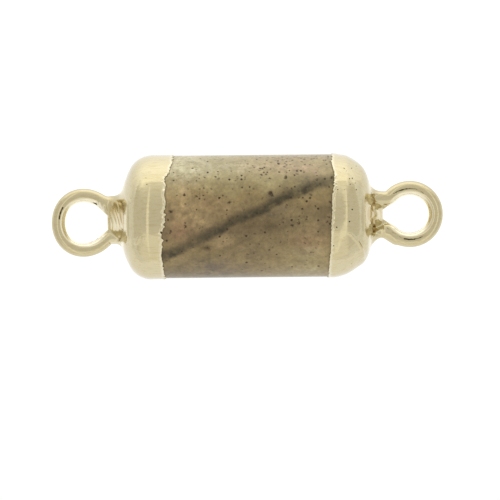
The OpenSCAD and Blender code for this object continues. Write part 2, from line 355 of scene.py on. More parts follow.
# Patches of the stone: place along the barrel, height across it, half length, half height, strength
PATCHES = {
    "tan": [
        (-5.2, 0.5, 1.9, 1.5, 0.75), (-5.3, 2.4, 1.8, 0.8, 0.4), (5.4, -1.7, 1.5, 1.2, 0.4),
        (5.4, 1.1, 1.2, 0.4, 0.2), (-1.9, -2.1, 0.8, 0.6, 0.6), (-5.1, -3.4, 0.6, 0.35, 0.5),
        (-1.6, 0.6, 1.1, 0.5, 0.5), (3.2, 0.2, 0.5, 0.4, 0.3), (-3.7, -0.5, 1.2, 0.5, 0.55),
    ],
    "rose": [
        (-5.3, -1.2, 0.9, 0.9, 0.6), (4.9, -2.2, 1.4, 0.6, 0.35), (3.6, 4.6, 3.2, 0.4, 0.3),
        (-2.8, 1.0, 0.9, 0.5, 0.3),
    ],
    "ash": [(-2.6, -4.1, 2.3, 0.8, 0.85), (1.0, -3.0, 2.0, 0.9, 0.35), (2.9, 0.5, 0.6, 0.4, 0.5)],
    "moss": [(5.3, -4.0, 1.8, 0.9, 0.7), (-3.2, 3.0, 1.0, 0.7, 0.45), (4.0, -0.5, 1.6, 0.9, 0.25)],
    "blush": [(3.6, 3.8, 2.4, 0.55, 0.85), (0.3, 3.9, 1.3, 0.5, 0.4), (5.4, 3.4, 1.0, 0.45, 0.6)],
    # The two patches at the upper back are a painted reflection of the bright light
    "mist": [
        (-5.2, 4.0, 1.9, 1.1, 0.95), (-2.0, 3.8, 2.4, 0.6, 0.5), (4.6, -4.4, 2.2, 0.6, 0.2),
        (4.8, -2.9, 1.5, 0.5, 0.2),
    ],
    "smoke": [
        (4.8, 2.7, 1.5, 0.5, 0.6), (3.2, 2.0, 1.0, 0.4, 0.4), (1.9, 0.15, 0.8, 0.35, 0.8),
        (1.9, 1.4, 0.4, 0.4, 0.6),
    ],
    # The two long patches along the front edge are painted shade; the others are deep brown stone
    "dusk": [
        (0.8, -0.7, 2.0, 0.6, 0.4), (-3.2, -2.5, 0.42, 0.22, 1.3), (-6.1, 0.2, 0.45, 0.5, 0.5),
        (-4.0, -4.7, 3.2, 0.55, 0.75), (0.0, -4.9, 2.0, 0.35, 0.3), (1.3, -0.35, 0.8, 0.3, 0.4),
    ],
}
# Where the vein thins out, in the same columns
GAPS = [
    (6.3, 2.7, 0.9, 0.9, 0.5), (4.0, 1.8, 0.6, 0.5, 0.25), (-0.7, -0.1, 0.5, 0.5, 0.25),
    (-4.6, -2.1, 1.3, 0.6, 0.22),
]
# Where the stone is thick with fine specks, in the same columns
GRITTY = [
    (4.0, 4.1, 3.2, 1.1, 1.5), (-1.2, 3.4, 2.0, 1.0, 0.8), (-4.0, 2.0, 1.6, 1.0, 0.4),
    (3.5, 0.3, 3.5, 1.5, 0.6),
]

# Light of the room: degrees from straight up, positive towards the back, and how bright it is there
ROOM_LIGHT = {
    "angle": [-180, -90, -60, -37, -31, -15, 0, 25, 42, 55, 65, 70, 73, 80, 85, 90, 180],
    "light": [
        1.0, 1.0, 0.97, 1.02, 0.84, 0.76, 0.77, 0.79, 0.85, 0.95, 1.06, 1.16, 1.48, 1.48, 1.38, 1.46, 1.45,
    ],
}
BRIGHTEST = 2.0
# The two soft strips overhead: degrees from straight up towards the right, and half width
SIDE_STRIPS = [(-20, 11), (38, 13)]


# Geometry in plain numbers, all in millimetres from the barrel's axis

def smooth_step(value, low, high):
    """0 below low and 1 above high, with a soft rise between them."""
    t = np.clip((value - low) / (high - low), 0, 1)
    return t * t * (3 - 2 * t)


def smooth_union(a, b, blend):
    """Union of two distances with a fillet of about that size."""
    h = np.clip(0.5 + 0.5 * (b - a) / blend, 0, 1)
    return b + (a - b) * h - blend * h * (1 - h)


def bump(value, at, width):
    """Bell of height 1."""
    return np.exp(-((value - at) / width) ** 2)


def waves(points, wavelength, seed, count):
    """Smooth noise of about -1 to 1: a few plane waves in random directions, through columns of points."""
    rng = np.random.default_rng(seed)
    total = 0
    for _ in range(count):
        way = rng.normal(size=len(points))
        way *= 2 * pi / (wavelength * rng.uniform(0.8, 1.5) * np.linalg.norm(way))
        total = total + np.cos(sum(w * p for w, p in zip(way, points)) + rng.uniform(0, 2 * pi))
    return total * sqrt(2 / count) * 0.6


def off_line(x, y, line):
    """Distance in the loops' plane to the straight line between two places."""
    from_x, from_y, to_x, to_y = line
    way = np.array([to_x - from_x, to_y - from_y])
    share = np.clip(((x - from_x) * way[0] + (y - from_y) * way[1]) / (way @ way), 0, 1)
    return np.hypot(x - from_x - share * way[0], y - from_y - share * way[1])


def in_mm(group, *names):
    """Sizes from a group of settings, in millimetres."""
    return [getattr(group, name) / MM for name in names]


class BarrelEnd:
    """Rounded end of the barrel: a straight side, a shoulder and a shallow dome, as in the solid model."""

    def __init__(self, barrel, end):
        self.barrel_r = barrel.barrel_d / MM / 2
        self.dome_r = barrel.dome_r / MM
        self.dome_at = end.dome_at / MM
        self.shoulder_r = end.shoulder_r / MM
        self.dome_x = self.dome_at - self.dome_r
        self.shoulder_y = self.barrel_r - self.shoulder_r
        self.shoulder_x = self.dome_x + sqrt((self.dome_r - self.shoulder_r) ** 2 - self.shoulder_y ** 2)
        self.lean = atan2(self.shoulder_y, self.shoulder_x - self.dome_x)

    def distance(self, along, radius):
        """Distance to the end's skin, negative inside."""
        side = radius - self.barrel_r
        shoulder = np.hypot(along - self.shoulder_x, radius - self.shoulder_y) - self.shoulder_r
        dome = np.hypot(along - self.dome_x, radius) - self.dome_r
        on_dome = radius * (self.shoulder_x - self.dome_x) < self.shoulder_y * (along - self.dome_x)
        return np.where(along < self.shoulder_x, side, np.where(on_dome, dome, shoulder))

    def outline(self, inset, from_r, steps):
        """Places (along, radius) from near the axis over the dome and shoulder to the straight side."""
        dome_r, bend_r = self.dome_r - inset, self.shoulder_r - inset
        dome = [
            (self.dome_x + dome_r * cos(a), dome_r * sin(a))
            for a in np.linspace(asin(from_r / dome_r), self.lean, steps, endpoint=False)
        ]
        shoulder = [
            (self.shoulder_x + bend_r * cos(a), self.shoulder_y + bend_r * sin(a))
            for a in np.linspace(self.lean, pi / 2, steps)
        ]
        return dome + shoulder


class PlatedEnd(BarrelEnd):
    """One plated end as distances: skin on the dome, web, legs and loop."""

    def __init__(self, barrel, plating, end, tables):
        super().__init__(barrel, end)
        for name, table in tables.items():
            setattr(self, name, table)
        self.lip_h, self.lip_w, self.tooth, self.web_t = in_mm(plating, "lip_h", "lip_w", "tooth", "web_t")
        self.eye_y, self.neck_y, self.reach, self.blunt_h = in_mm(end, "eye_y", "neck_y", "reach", "blunt_h")
        self.skin_t = barrel.skin_t / MM
        self.floor = barrel.rest_flat / MM - self.barrel_r
        self.wire_r = end.wire_d / MM / 2
        self.eye_r = end.eye_d / MM / 2
        self.eye_x = barrel.overall_l / MM / 2 - self.eye_r - 2 * self.wire_r
        self.rim_x = self.eye_x - self.reach
        self.leg_y = end.neck_h / MM / 2 - self.wire_r

    def uneven(self, points, kind):
        """One kind of the plating's unevenness."""
        height, wavelength, more, count = WAVES[kind]
        return height * waves(points, wavelength, self.seed + more, count)

    def edge(self, across, up):
        """Distance from the barrel's middle to the plating's ragged edge, all the way round."""
        shown = np.interp(across, self.edge_rows["across"], self.edge_rows["along"])
        ends = self.edge_rows["along"][0], self.edge_rows["along"][-1]
        plain = np.interp(across, [-self.barrel_r, self.barrel_r], ends)
        facing = smooth_step(up, *SHOWN_FROM)
        turn = np.arctan2(up, across)
        round_pos = (self.barrel_r * np.cos(turn), self.barrel_r * np.sin(turn))
        fine = self.uneven(round_pos, "teeth") + self.uneven(round_pos, "small teeth")
        patchy = np.clip(0.6 + self.uneven(round_pos, "patches"), 0.15, 1.5)
        slow = self.uneven(round_pos, "bends") * (1 - facing)
        ragged = self.tooth * self.edge_rows["tooth"] * fine * patchy
        return plain + (shown - plain) * facing + ragged + slow

    def skin(self, along, across, up, edge):
        """The plated dome, with its swells, folds and fuller shoulder, and the lip at its edge."""
        radius = np.hypot(across, up)
        lift = np.interp(along, self.lean_rows["along"], self.lean_rows["lift"]) * across / self.barrel_r
        for at, height, width, whole in self.swells:
            lift = lift + height * bump(along, at, width) * smooth_step(np.abs(across), whole - 1, whole)
        lift = lift + self.uneven((along, across, up), "skin")
        fold = 0
        for *line, height, width in self.folds:
            fold = np.maximum(fold, height * bump(off_line(along, across, line), 0, width))
        lift = lift + fold * (up > 0)
        # The skin stays whole: no hollow goes deeper than most of its thickness
        lift = -smooth_union(-lift, DEEPEST * self.skin_t, 0.02)
        lift = lift + self.brow(along, across, *RAISED_BROW)
        lumpy = 0.8 + self.uneven((across, up), "lip")
        lumpy = lumpy * (0.2 + 0.8 * smooth_step(up, *LIP_FROM))
        lift = lift + self.lip_h * lumpy * bump(along, edge + self.lip_w, self.lip_w)
        return self.distance(along, radius) - lift

    def brow(self, along, across, whole, end, before, width):
        """The dome's brow over the neck, as high as the filling's table says."""
        beside = 1 - smooth_step(np.abs(across - self.neck_y), whole, end)
        return self.filling["brow"] * beside * bump(along, self.filling["crease"] - before, width)

    def arc(self, x, y, centre, bend_r, start, span, wobble=0):
        """Distance in the loops' plane to part of a circle, from an angle and through a span."""
        x, y = x - centre[0], y - centre[1]
        bend_r = bend_r - wobble * np.cos(3 * np.arctan2(y, x))
        turn = (np.arctan2(y, x) - start) % (2 * pi)
        ends = [np.hypot(x - bend_r * cos(a), y - bend_r * sin(a)) for a in (start, start + span)]
        return np.where(turn <= span, np.abs(np.hypot(x, y) - bend_r), np.minimum(*ends))

    def wire(self, along, across, up):
        """The loop and its two legs, as one round wire."""
        x, y = along - self.eye_x, across - self.eye_y
        ring_r = self.eye_r + self.wire_r
        bend_r = self.wire_r * BEND
        paths, legs, turns = [], [], []
        for side, (drift, loss) in zip((1, -1), self.legs):
            leg_y = self.leg_y + side * (self.neck_y - self.eye_y)
            run = sqrt((ring_r + bend_r) ** 2 - (leg_y + bend_r) ** 2)
            turn = atan2(leg_y + bend_r, run)
            turns.append(turn)
            paths.append(self.arc(x, side * y, (-run, leg_y + bend_r), bend_r, -pi / 2, pi / 2 - turn))
            gone = np.clip((-run - x) / (self.eye_x - run - self.dome_at + LEG_ROOT), 0, 1.3)
            leg = np.hypot(np.maximum(x + run, 0), side * y - leg_y - drift * gone ** 1.5)
            legs.append(np.hypot(leg, up) - self.wire_r * (1 - loss * gone))
        paths.append(self.arc(x, y, (0, 0), ring_r, turns[1] - pi, 2 * pi - sum(turns), self.wobble))
        ring = np.hypot(np.minimum.reduce(paths), up) - self.wire_r
        metal = np.minimum.reduce([ring, *legs])
        for *line, lump_r in self.lumps:
            metal = smooth_union(metal, np.hypot(off_line(along, across, line), up) - lump_r, LUMP_FILLET)
        return metal

    def opening(self, x, y):
        """Distance from the eye's outline on the neck's side: a circle drawn out to a blunt side."""
        tip_h = self.blunt_h / 2
        tip = sqrt(self.reach ** 2 + tip_h ** 2)
        normal = atan2(tip_h, -self.reach) - acos(self.eye_r / tip)
        flank = cos(normal) * x + sin(normal) * np.abs(y) - self.eye_r
        return np.maximum(flank, -self.reach - x)

    def neck_filling(self, along, across, up):
        """Metal between the legs, which climbs from the eye's rim up the dome in rounded strokes."""
        x, y = along - self.eye_x, across - self.eye_y
        given = self.filling
        climb = np.clip((self.rim_x - along) / (self.rim_x - given["crease"]), 0, 1)
        height = given["rim_h"] + (given["crease_h"] - given["rim_h"]) * climb ** given["rise"]
        aside = across - given["middle"] - given["shift"] * climb
        leaning = along - self.slant * across + self.uneven((across, 0.5 * along), "drift")
        for at, lift, width, half in self.ridges:
            height = height + lift * np.clip(1 - (aside / half) ** 2, 0, 1) * bump(leaning, at, width)
        height = height + given["stroke"] * self.uneven((leaning, 0.25 * across), "strokes")
        wide = given["rim_w"] + (given["crease_w"] - given["rim_w"]) * climb
        power = given["square"]
        section = (np.abs(aside) / wide) ** power + (np.abs(up) / height) ** power
        ramp = (section ** (1 / power) - 1) * np.minimum(height, wide)
        web = np.maximum(np.abs(up) - self.web_t / 2, np.abs(across - self.neck_y) - self.leg_y - 0.25)
        web = np.maximum(web, x + self.reach + WEB_BACK)
        ramp = smooth_union(ramp, web, WEB_FILLET)
        to_eye = RIM_R - self.opening(x, y)
        to_face = ramp + RIM_R
        corner = np.hypot(np.maximum(to_eye, 0), np.maximum(to_face, 0))
        plate = corner + np.minimum(np.maximum(to_eye, to_face), 0) - RIM_R
        return np.maximum(np.maximum(plate, x), given["crease"] - 0.12 - along)

    def distance_to(self, along, across, up, edge=None):
        """Distance to the whole end."""
        if edge is None:
            edge = self.edge(across, up)
        skin = self.skin(along, across, up, edge)
        neck = smooth_union(self.wire(along, across, up), self.neck_filling(along, across, up), LEG_FILLET)
        flare = smooth_step(np.abs(across - self.neck_y), self.leg_y, self.leg_y + 0.7 * self.wire_r)
        fillet = np.where(across > self.neck_y, *self.filling["flare"])
        body = smooth_union(skin, neck, SKIN_FILLET + fillet * flare)
        body = body + GROOVE_DEPTH * (1 - flare) * bump(np.hypot(skin, neck), 0, GROOVE_W)
        body = np.maximum(body, edge - along)
        return np.maximum(body, self.floor - up)

    def on_neck(self, along):
        """1 on the neck between the dome and the eye, and 0 elsewhere."""
        crease = self.filling["crease"]
        gone = smooth_step(along, self.rim_x - 0.35, self.rim_x)
        return smooth_step(along, crease, crease + 0.1) * (1 - gone)

    def recess(self, along, across, up):
        """How deep the plating's tone is: most in the crease at the dome, and in the stained neck."""
        neck = np.minimum(self.wire(along, across, up), self.neck_filling(along, across, up))
        skin = self.skin(along, across, up, self.edge(across, up))
        crease = bump(np.maximum(np.abs(neck), np.abs(skin)), 0, CREASE_W)
        stain = self.filling["stain"] * self.on_neck(along) * bump(across, *NECK_SHADE) * (up > 0)
        return np.maximum(crease, stain)

    def rubbed(self, along, across, up):
        """How bright it is rubbed: on the lip, inside the eye, on the dome's brow and low on the neck."""
        inward = self.eye_r + self.wire_r - np.hypot(along - self.eye_x, across - self.eye_y)
        inner = smooth_step(inward, 0.2 * self.wire_r, 0.7 * self.wire_r)
        inner = inner * smooth_step(along, self.rim_x, self.rim_x + 0.4)
        brow = self.brow(along, across, *BROW_HIGHLIGHT)
        strips = sum(bump(across, *strip) for strip in NECK_HIGHLIGHT_STRIPS)
        low = self.filling["bright"] * self.on_neck(along) * strips
        lip = LIP_HIGHLIGHT * bump(along, self.edge(across, up) + self.lip_w, self.lip_w)
        return np.clip(inner + lip + (brow + low) * (up > 0), 0, 1)

    def mark(self, along, across, up):
        """Distance to the nearest of the fine dark marks and pits on the upper side."""
        x, y = along - self.eye_x, across - self.eye_y
        turn = np.degrees(np.arctan2(y, x))
        reach = np.hypot(x, y)
        off = reach - self.eye_r - self.wire_r
        nearest = np.full_like(along, 0.5)
        # The thinnest marks, along the eye's inner rim, are painted shade
        for start, end, first, last, half_w in self.marks:
            past = np.maximum(np.abs(turn - (start + end) / 2) - (end - start) / 2, 0)
            aside = np.interp(turn, [start, end], [first, last])
            nearest = np.minimum(nearest, np.hypot(off - aside, np.radians(past) * reach) - half_w)
        for at, height, half_w in self.pits:
            nearest = np.minimum(nearest, np.hypot(along - at, across - height) - half_w)
        return np.where(up > 0, nearest, 1)

    def axes(self):
        """Grid lines of the mesh: close at the plating's edge, the neck and the loop, wider on the cap."""
        edge = self.edge_rows["along"]
        stops = [
            min(edge) - 0.3, max(edge) + 0.25, self.filling["crease"] - 0.3, self.rim_x + 0.1,
            self.eye_x + self.eye_r + 2 * self.wire_r + 0.12,
        ]
        along = np.concatenate([np.arange(*each) for each in zip(stops, stops[1:], ALONG_STEPS)])
        return along, *(grid_lines(middle, self.barrel_r + 0.15) for middle in (2.85, 1.2))

    def on_grid(self, axes):
        """Distance at each point of a grid, slice by slice."""
        across, up = np.meshgrid(axes[1], axes[2], indexing="ij")
        edge = self.edge(across, up)
        slices = [self.distance_to(np.full_like(across, along), across, up, edge) for along in axes[0]]
        return np.stack(slices)


def grid_lines(middle, wide):
    """Places from -wide to wide, fine steps apart in the middle and coarse ones outside it."""
    outer = np.arange(middle + COARSE_STEP, wide + COARSE_STEP, COARSE_STEP)
    return np.concatenate([-outer[::-1], np.arange(-middle, middle + FINE_STEP / 2, FINE_STEP), outer])


def surface_nets(axes, values):
    """Vertices and quads round the zero level of values on a grid: one vertex in each cell it crosses."""
    inside = values < 0
    count = np.zeros([n - 1 for n in values.shape], np.int8)
    corners = [(i, j, k) for i in (0, 1) for j in (0, 1) for k in (0, 1)]
    for i, j, k in corners:
        count += inside[i:inside.shape[0] - 1 + i, j:inside.shape[1] - 1 + j, k:inside.shape[2] - 1 + k]
    cells = np.argwhere((count > 0) & (count < 8))
    index = np.full(count.shape, -1, np.int32)
    index[tuple(cells.T)] = np.arange(len(cells))
    total = np.zeros((len(cells), 3))
    crossed = np.zeros(len(cells))
    for first in corners:
        for axis in range(3):
            if first[axis]:
                continue
            second = tuple(1 if n == axis else first[n] for n in range(3))
            a = values[tuple((cells + first).T)]
            b = values[tuple((cells + second).T)]
            cut = (a < 0) != (b < 0)
            share = np.where(cut, a / np.where(cut, a - b, 1), 0)
            place = cells + first + share[:, None] * np.eye(3)[axis]
            total += np.where(cut[:, None], place, 0)
            crossed += cut
    place = total / crossed[:, None]
    points = np.column_stack([np.interp(place[:, n], np.arange(len(axes[n])), axes[n]) for n in range(3)])
    quads = []
    for axis in range(3):
        b, c = (axis + 1) % 3, (axis + 2) % 3
        near = inside.take(range(inside.shape[axis] - 1), axis)
        far = inside.take(range(1, inside.shape[axis]), axis)
        edges = np.argwhere(near != far)
        edges = edges[(edges[:, b] > 0) & (edges[:, c] > 0)]
        edges = edges[(edges[:, b] < inside.shape[b] - 1) & (edges[:, c] < inside.shape[c] - 1)]
        leaving = near[tuple(edges.T)]
        ring = []
        for step_b, step_c in ((1, 1), (0, 1), (0, 0), (1, 0)):
            cell = edges.copy()
            cell[:, b] -= step_b
            cell[:, c] -= step_c
            ring.append(index[tuple(cell.T)])
        ring = np.column_stack(ring)
        quads.append(np.where(leaving[:, None], ring, ring[:, ::-1]))
    return points, np.concatenate(quads)


def settle(points, distance, rounds=4, step=0.004, least_slope=0.25, most=0.03):
    """Moves points onto the zero level of a distance, by no more than the most in each round."""
    for _ in range(rounds):
        here = distance(*points.T)
        slope = np.column_stack([
            (distance(*(points + step * way).T) - distance(*(points - step * way).T)) / (2 * step)
            for way in np.eye(3)
        ])
        size = np.maximum((slope ** 2).sum(axis=1), least_slope)
        move = slope * (here / size)[:, None]
        points = points - np.clip(move, -most, most)
    return points


# Nodes and meshes

def add_node(tree, kind, *values, **settings):
    """Adds a node with its settings. Its operation may follow its kind, after a space.

    Values go to its live inputs in turn, and those in a dictionary to the inputs that it names. A socket or a
    node feeds the input: a node by its Fac output, or else by its first live one.
    """
    kind, *operation = kind.split()
    node = tree.nodes.new(kind if "Node" in kind else "ShaderNode" + kind)
    if operation:
        settings["operation"] = operation[0]
    for name, value in settings.items():
        setattr(node, name, value)
    named = values[-1] if values and isinstance(values[-1], dict) else {}
    live = [socket for socket in node.inputs if socket.enabled]
    fed = list(zip(live, values[:-1] if named else values))
    fed += [(node.inputs[name], value) for name, value in named.items()]
    for socket, value in fed:
        if isinstance(value, bpy.types.Node):
            value = value.outputs.get("Fac") or next(out for out in value.outputs if out.enabled)
        if isinstance(value, bpy.types.NodeSocket):
            tree.links.new(value, socket)
        else:
            socket.default_value = value
    return node


def draw_curve(node, rows, handles=None):
    """Puts the points of a curve node at rows of places from 0 to 1."""
    points = node.mapping.curves[0].points
    points[0].location, points[1].location = rows[0], rows[-1]
    for row in rows[1:-1]:
        points.new(*row)
    if handles:
        for point in points:
            point.handle_type = handles
    node.mapping.update()


def new_object(name, data):
    """An object in the scene for a mesh or a camera."""
    made = bpy.data.objects.new(name, data)
    bpy.context.scene.collection.objects.link(made)
    return made


def mesh_object(name, points, faces=(), edges=()):
    """An object from points in millimetres."""
    mesh = bpy.data.meshes.new(name)
    mesh.from_pydata((np.asarray(points) * MM).tolist(), list(edges), np.asarray(faces).tolist())
    return new_object(name, mesh)


def remove(made):
    """Removes an object and its mesh."""
    mesh = made.data
    bpy.data.objects.remove(made)
    bpy.data.meshes.remove(mesh)


def freeze(made):
    """Turns an object's modifiers into a plain mesh."""
    evaluated = made.evaluated_get(bpy.context.evaluated_depsgraph_get())
    mesh = bpy.data.meshes.new_from_object(evaluated)
    made.modifiers.clear()
    old = made.data
    made.data = mesh
    bpy.data.meshes.remove(old)
    mesh.name = made.name


def face_outwards(made):
    """Turns the faces of a closed mesh outwards."""
    mesh = bmesh.new()
    mesh.from_mesh(made.data)
    bmesh.ops.recalc_face_normals(mesh, faces=mesh.faces)
    mesh.to_mesh(made.data)
    mesh.free()


def shape_with(made, tree, **inputs):
    """Runs a Geometry Nodes tree on an object, with its inputs set by name, and keeps the result."""
    modifier = made.modifiers.new(tree.name, "NODES")
    modifier.node_group = tree
    sockets = {s.name: s.identifier for s in tree.interface.items_tree if s.in_out == "INPUT"}
    for name, value in inputs.items():
        modifier[sockets[name.replace("_", " ")]] = value
    freeze(made)


def store(mesh, name, values):
    """Stores a number on each vertex."""
    mesh.attributes.new(name, "FLOAT", "POINT").data.foreach_set("value", np.asarray(values, np.float32))


def vertices_mm(mesh):
    """Places of the vertices in millimetres."""
    flat = np.empty(len(mesh.vertices) * 3, np.float32)
    mesh.vertices.foreach_get("co", flat)
    return flat.reshape(-1, 3).astype(float) / MM


def new_tree(name, inputs):
    """A Geometry Nodes tree with geometry in and out, what adds its nodes, and its named inputs."""
    tree = bpy.data.node_groups.new(name, "GeometryNodeTree")
    for label, kind in {"Geometry": "Geometry", **inputs}.items():
        tree.interface.new_socket(label, in_out="INPUT", socket_type="NodeSocket" + kind)
    tree.interface.new_socket("Geometry", in_out="OUTPUT", socket_type="NodeSocketGeometry")
    return tree, partial(add_node, tree), tree.nodes.new("NodeGroupInput").outputs


def close_tree(add, geometry, material):
    """Ends a tree in plain geometry with its material."""
    real = add("GeometryNodeRealizeInstances", geometry)
    dressed = add("GeometryNodeSetMaterial", {"Geometry": real, "Material": material})
    add("NodeGroupOutput", dressed)


def turned_tree():
    """Turns an outline about the X axis, as on a lathe. The outline's X is along, and its Y is the radius."""
    inputs = {"Sides": "Int", "Axis height": "Float", "Material": "Material"}
    tree, add, given = new_tree("Turned body", inputs)
    rows = add("GeometryNodeAttributeDomainSize", given["Geometry"])
    columns = add("Math ADD", given["Sides"], 1.0)
    grid = add("GeometryNodeMeshGrid", {"Vertices X": rows, "Vertices Y": columns})
    number = add("GeometryNodeInputIndex")
    quotient = add("Math DIVIDE", number, columns)
    row = add("Math FLOOR", quotient)
    column = add("Math MODULO", number, columns)
    place = add("GeometryNodeInputPosition")
    outline = add(
        "GeometryNodeSampleIndex", {"Geometry": given["Geometry"], "Value": place, "Index": row},
        data_type="FLOAT_VECTOR"
    )
    split = add("SeparateXYZ", outline)
    share = add("Math DIVIDE", column, given["Sides"])
    turn = add("Math MULTIPLY", share, 2 * pi)
    cosine = add("Math COSINE", turn)
    sine = add("Math SINE", turn)
    across = add("Math MULTIPLY", cosine, split.outputs["Y"])
    up = add("Math MULTIPLY_ADD", sine, split.outputs["Y"], given["Axis height"])
    turned = add("CombineXYZ", split.outputs["X"], across, up)
    body = add("GeometryNodeSetPosition", {"Geometry": grid, "Position": turned})
    closed = add("GeometryNodeMergeByDistance", {"Geometry": body, "Distance": SEAM * MM})
    close_tree(add, closed, given["Material"])
    return tree


def pits_tree():
    """Dents a body at named and scattered specks, and stores how far each point is from the nearest."""
    tree, add, given = new_tree("Polish pits", {
        "Specks": "Object", "Density": "Float", "Largest": "Float", "Half length": "Float", "Depth": "Float",
        "Seed": "Int", "Material": "Material",
    })
    named = add("GeometryNodeObjectInfo", {"Object": given["Specks"]})
    named_points = add("GeometryNodeMeshToPoints", {"Mesh": named.outputs["Geometry"]})
    place = add("GeometryNodeInputPosition")
    split = add("SeparateXYZ", place)
    away = add("Math ABSOLUTE", split.outputs["X"])
    shown = add("FunctionNodeCompare LESS_THAN", away, given["Half length"])
    stray = add("GeometryNodeDistributePointsOnFaces", {
        "Mesh": given["Geometry"], "Selection": shown, "Density": given["Density"], "Seed": given["Seed"]
    })
    # Small specks are commoner than large ones
    chance = add("FunctionNodeRandomValue", {"Seed": given["Seed"]}, data_type="FLOAT")
    rare = add("Math POWER", chance, 2.5)
    stray_size = add("Math MULTIPLY", rare, given["Largest"])
    stray_sized = add(
        "GeometryNodeStoreNamedAttribute", {"Geometry": stray, "Name": "size", "Value": stray_size},
        data_type="FLOAT", domain="POINT"
    )
    specks = add("GeometryNodeJoinGeometry", named_points)
    tree.links.new(stray_sized.outputs[0], specks.inputs[0])
    size = add("GeometryNodeInputNamedAttribute", {"Name": "size"}, data_type="FLOAT")
    nearest = add("GeometryNodeSampleNearest", {"Geometry": specks}, domain="POINT")
    speck_size, speck_place = (
        add("GeometryNodeSampleIndex", {"Geometry": specks, "Value": value, "Index": nearest}, data_type=kind)
        for value, kind in ((size, "FLOAT"), (place, "FLOAT_VECTOR"))
    )
    gap = add("VectorMath DISTANCE", place, speck_place)
    speck_r = add("Math MULTIPLY", speck_size, 0.5)
    rim = add("Math SUBTRACT", gap, speck_r)
    marked = add(
        "GeometryNodeStoreNamedAttribute", {"Geometry": given["Geometry"], "Name": "speck_rim", "Value": rim},
        data_type="FLOAT", domain="POINT"
    )
    # A pit starts just outside its speck's rim and is at its deepest just inside it
    dent = add("MapRange", rim, 0.04 * MM, -0.06 * MM, 0.0, -1.0, **SOFT)
    depth = add("Math MULTIPLY", dent, given["Depth"])
    normal = add("GeometryNodeInputNormal")
    offset = add("VectorMath SCALE", normal, depth)
    dented = add("GeometryNodeSetPosition", {"Geometry": marked, "Offset": offset})
    close_tree(add, dented, given["Material"])
    return tree


def new_material(name):
    """An empty material, what adds its nodes, and Object coordinates in millimetres from the axis."""
    material = bpy.data.materials.new(name)
    material.use_nodes = True
    material.node_tree.nodes.clear()
    add = partial(add_node, material.node_tree)
    where = add("TexCoord").outputs["Object"]
    origin = (0, 0, -axis_height() / MM)
    return material, add, add("Mapping", {"Vector": where, "Scale": (1 / MM,) * 3, "Location": origin})


def close_material(add, inputs):
    """Ends a material in its shader, with that shader's inputs by name."""
    add("OutputMaterial", add("BsdfPrincipled", inputs))


def axis_height():
    """Height of the barrel's axis above the surface that it rests on."""
    barrel = bpy.context.scene.connector_barrel
    return barrel.barrel_d / 2 - barrel.rest_flat


